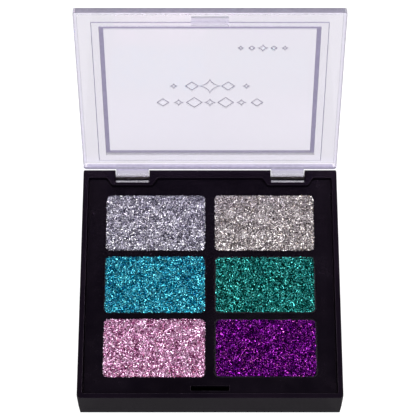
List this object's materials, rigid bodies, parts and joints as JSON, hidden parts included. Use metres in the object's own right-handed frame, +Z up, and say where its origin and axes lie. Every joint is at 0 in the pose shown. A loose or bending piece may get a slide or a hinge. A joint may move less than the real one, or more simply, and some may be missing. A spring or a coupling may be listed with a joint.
{
  "type": "eyeshadow palette",
  "caption": "Square eyeshadow palette with a clear hinged lid standing open over a black tray of glitter shades in rounded metal pans.",
  "frame": {"origin": "middle of the flat underside of the base", "axes": "+X to the user's right, +Y towards the hinge at the rear, +Z up out of the pans"},
  "size_m": [0.09, 0.1009, 0.0986],
  "materials": {
    "black_case": "gloss black moulded plastic with fine handling marks",
    "black_tray": "satin gloss black moulded plastic",
    "clear_lid": "polished clear styrene with a faint lavender tint and a frosted bevel",
    "pin_steel": "drawn wire",
    "pan_tin": "tin-plated sheet",
    "glitter_lilac_silver": "pressed foil glitter, lilac silver",
    "glitter_champagne": "pressed foil glitter, champagne silver",
    "glitter_turquoise": "pressed foil glitter, turquoise",
    "glitter_emerald": "pressed foil glitter, emerald",
    "glitter_pink": "pressed foil glitter, pink",
    "glitter_violet": "pressed foil glitter, violet with magenta sparkle",
    "adhesive": "clear amber pressure-sensitive adhesive"
  },
  "bodies": {
    "base": {"base_shell": "black_case", "inner_tray": "black_tray", "hinge_pin_left": "pin_steel", "hinge_pin_right": "pin_steel", "pan_lilac_silver": "pan_tin", "pan_champagne": "pan_tin", "pan_turquoise": "pan_tin", "pan_emerald": "pan_tin", "pan_pink": "pan_tin", "pan_violet": "pan_tin", "glitter_lilac_silver": "glitter_lilac_silver", "glitter_champagne": "glitter_champagne", "glitter_turquoise": "glitter_turquoise", "glitter_emerald": "glitter_emerald", "glitter_pink": "glitter_pink", "glitter_violet": "glitter_violet", "adhesive_lilac_silver": "adhesive", "adhesive_champagne": "adhesive", "adhesive_turquoise": "adhesive", "adhesive_emerald": "adhesive", "adhesive_pink": "adhesive", "adhesive_violet": "adhesive"},
    "lid": {"lid_shell": "clear_lid"}
  },
  "joints": [
    {"name": "lid_hinge", "type": "hinge", "parent": "base", "child": "lid", "pos_m": [0, 0.0426, 0.0117], "axis": [1, 0, 0], "range_deg": [0, 95.7]}
  ]
}
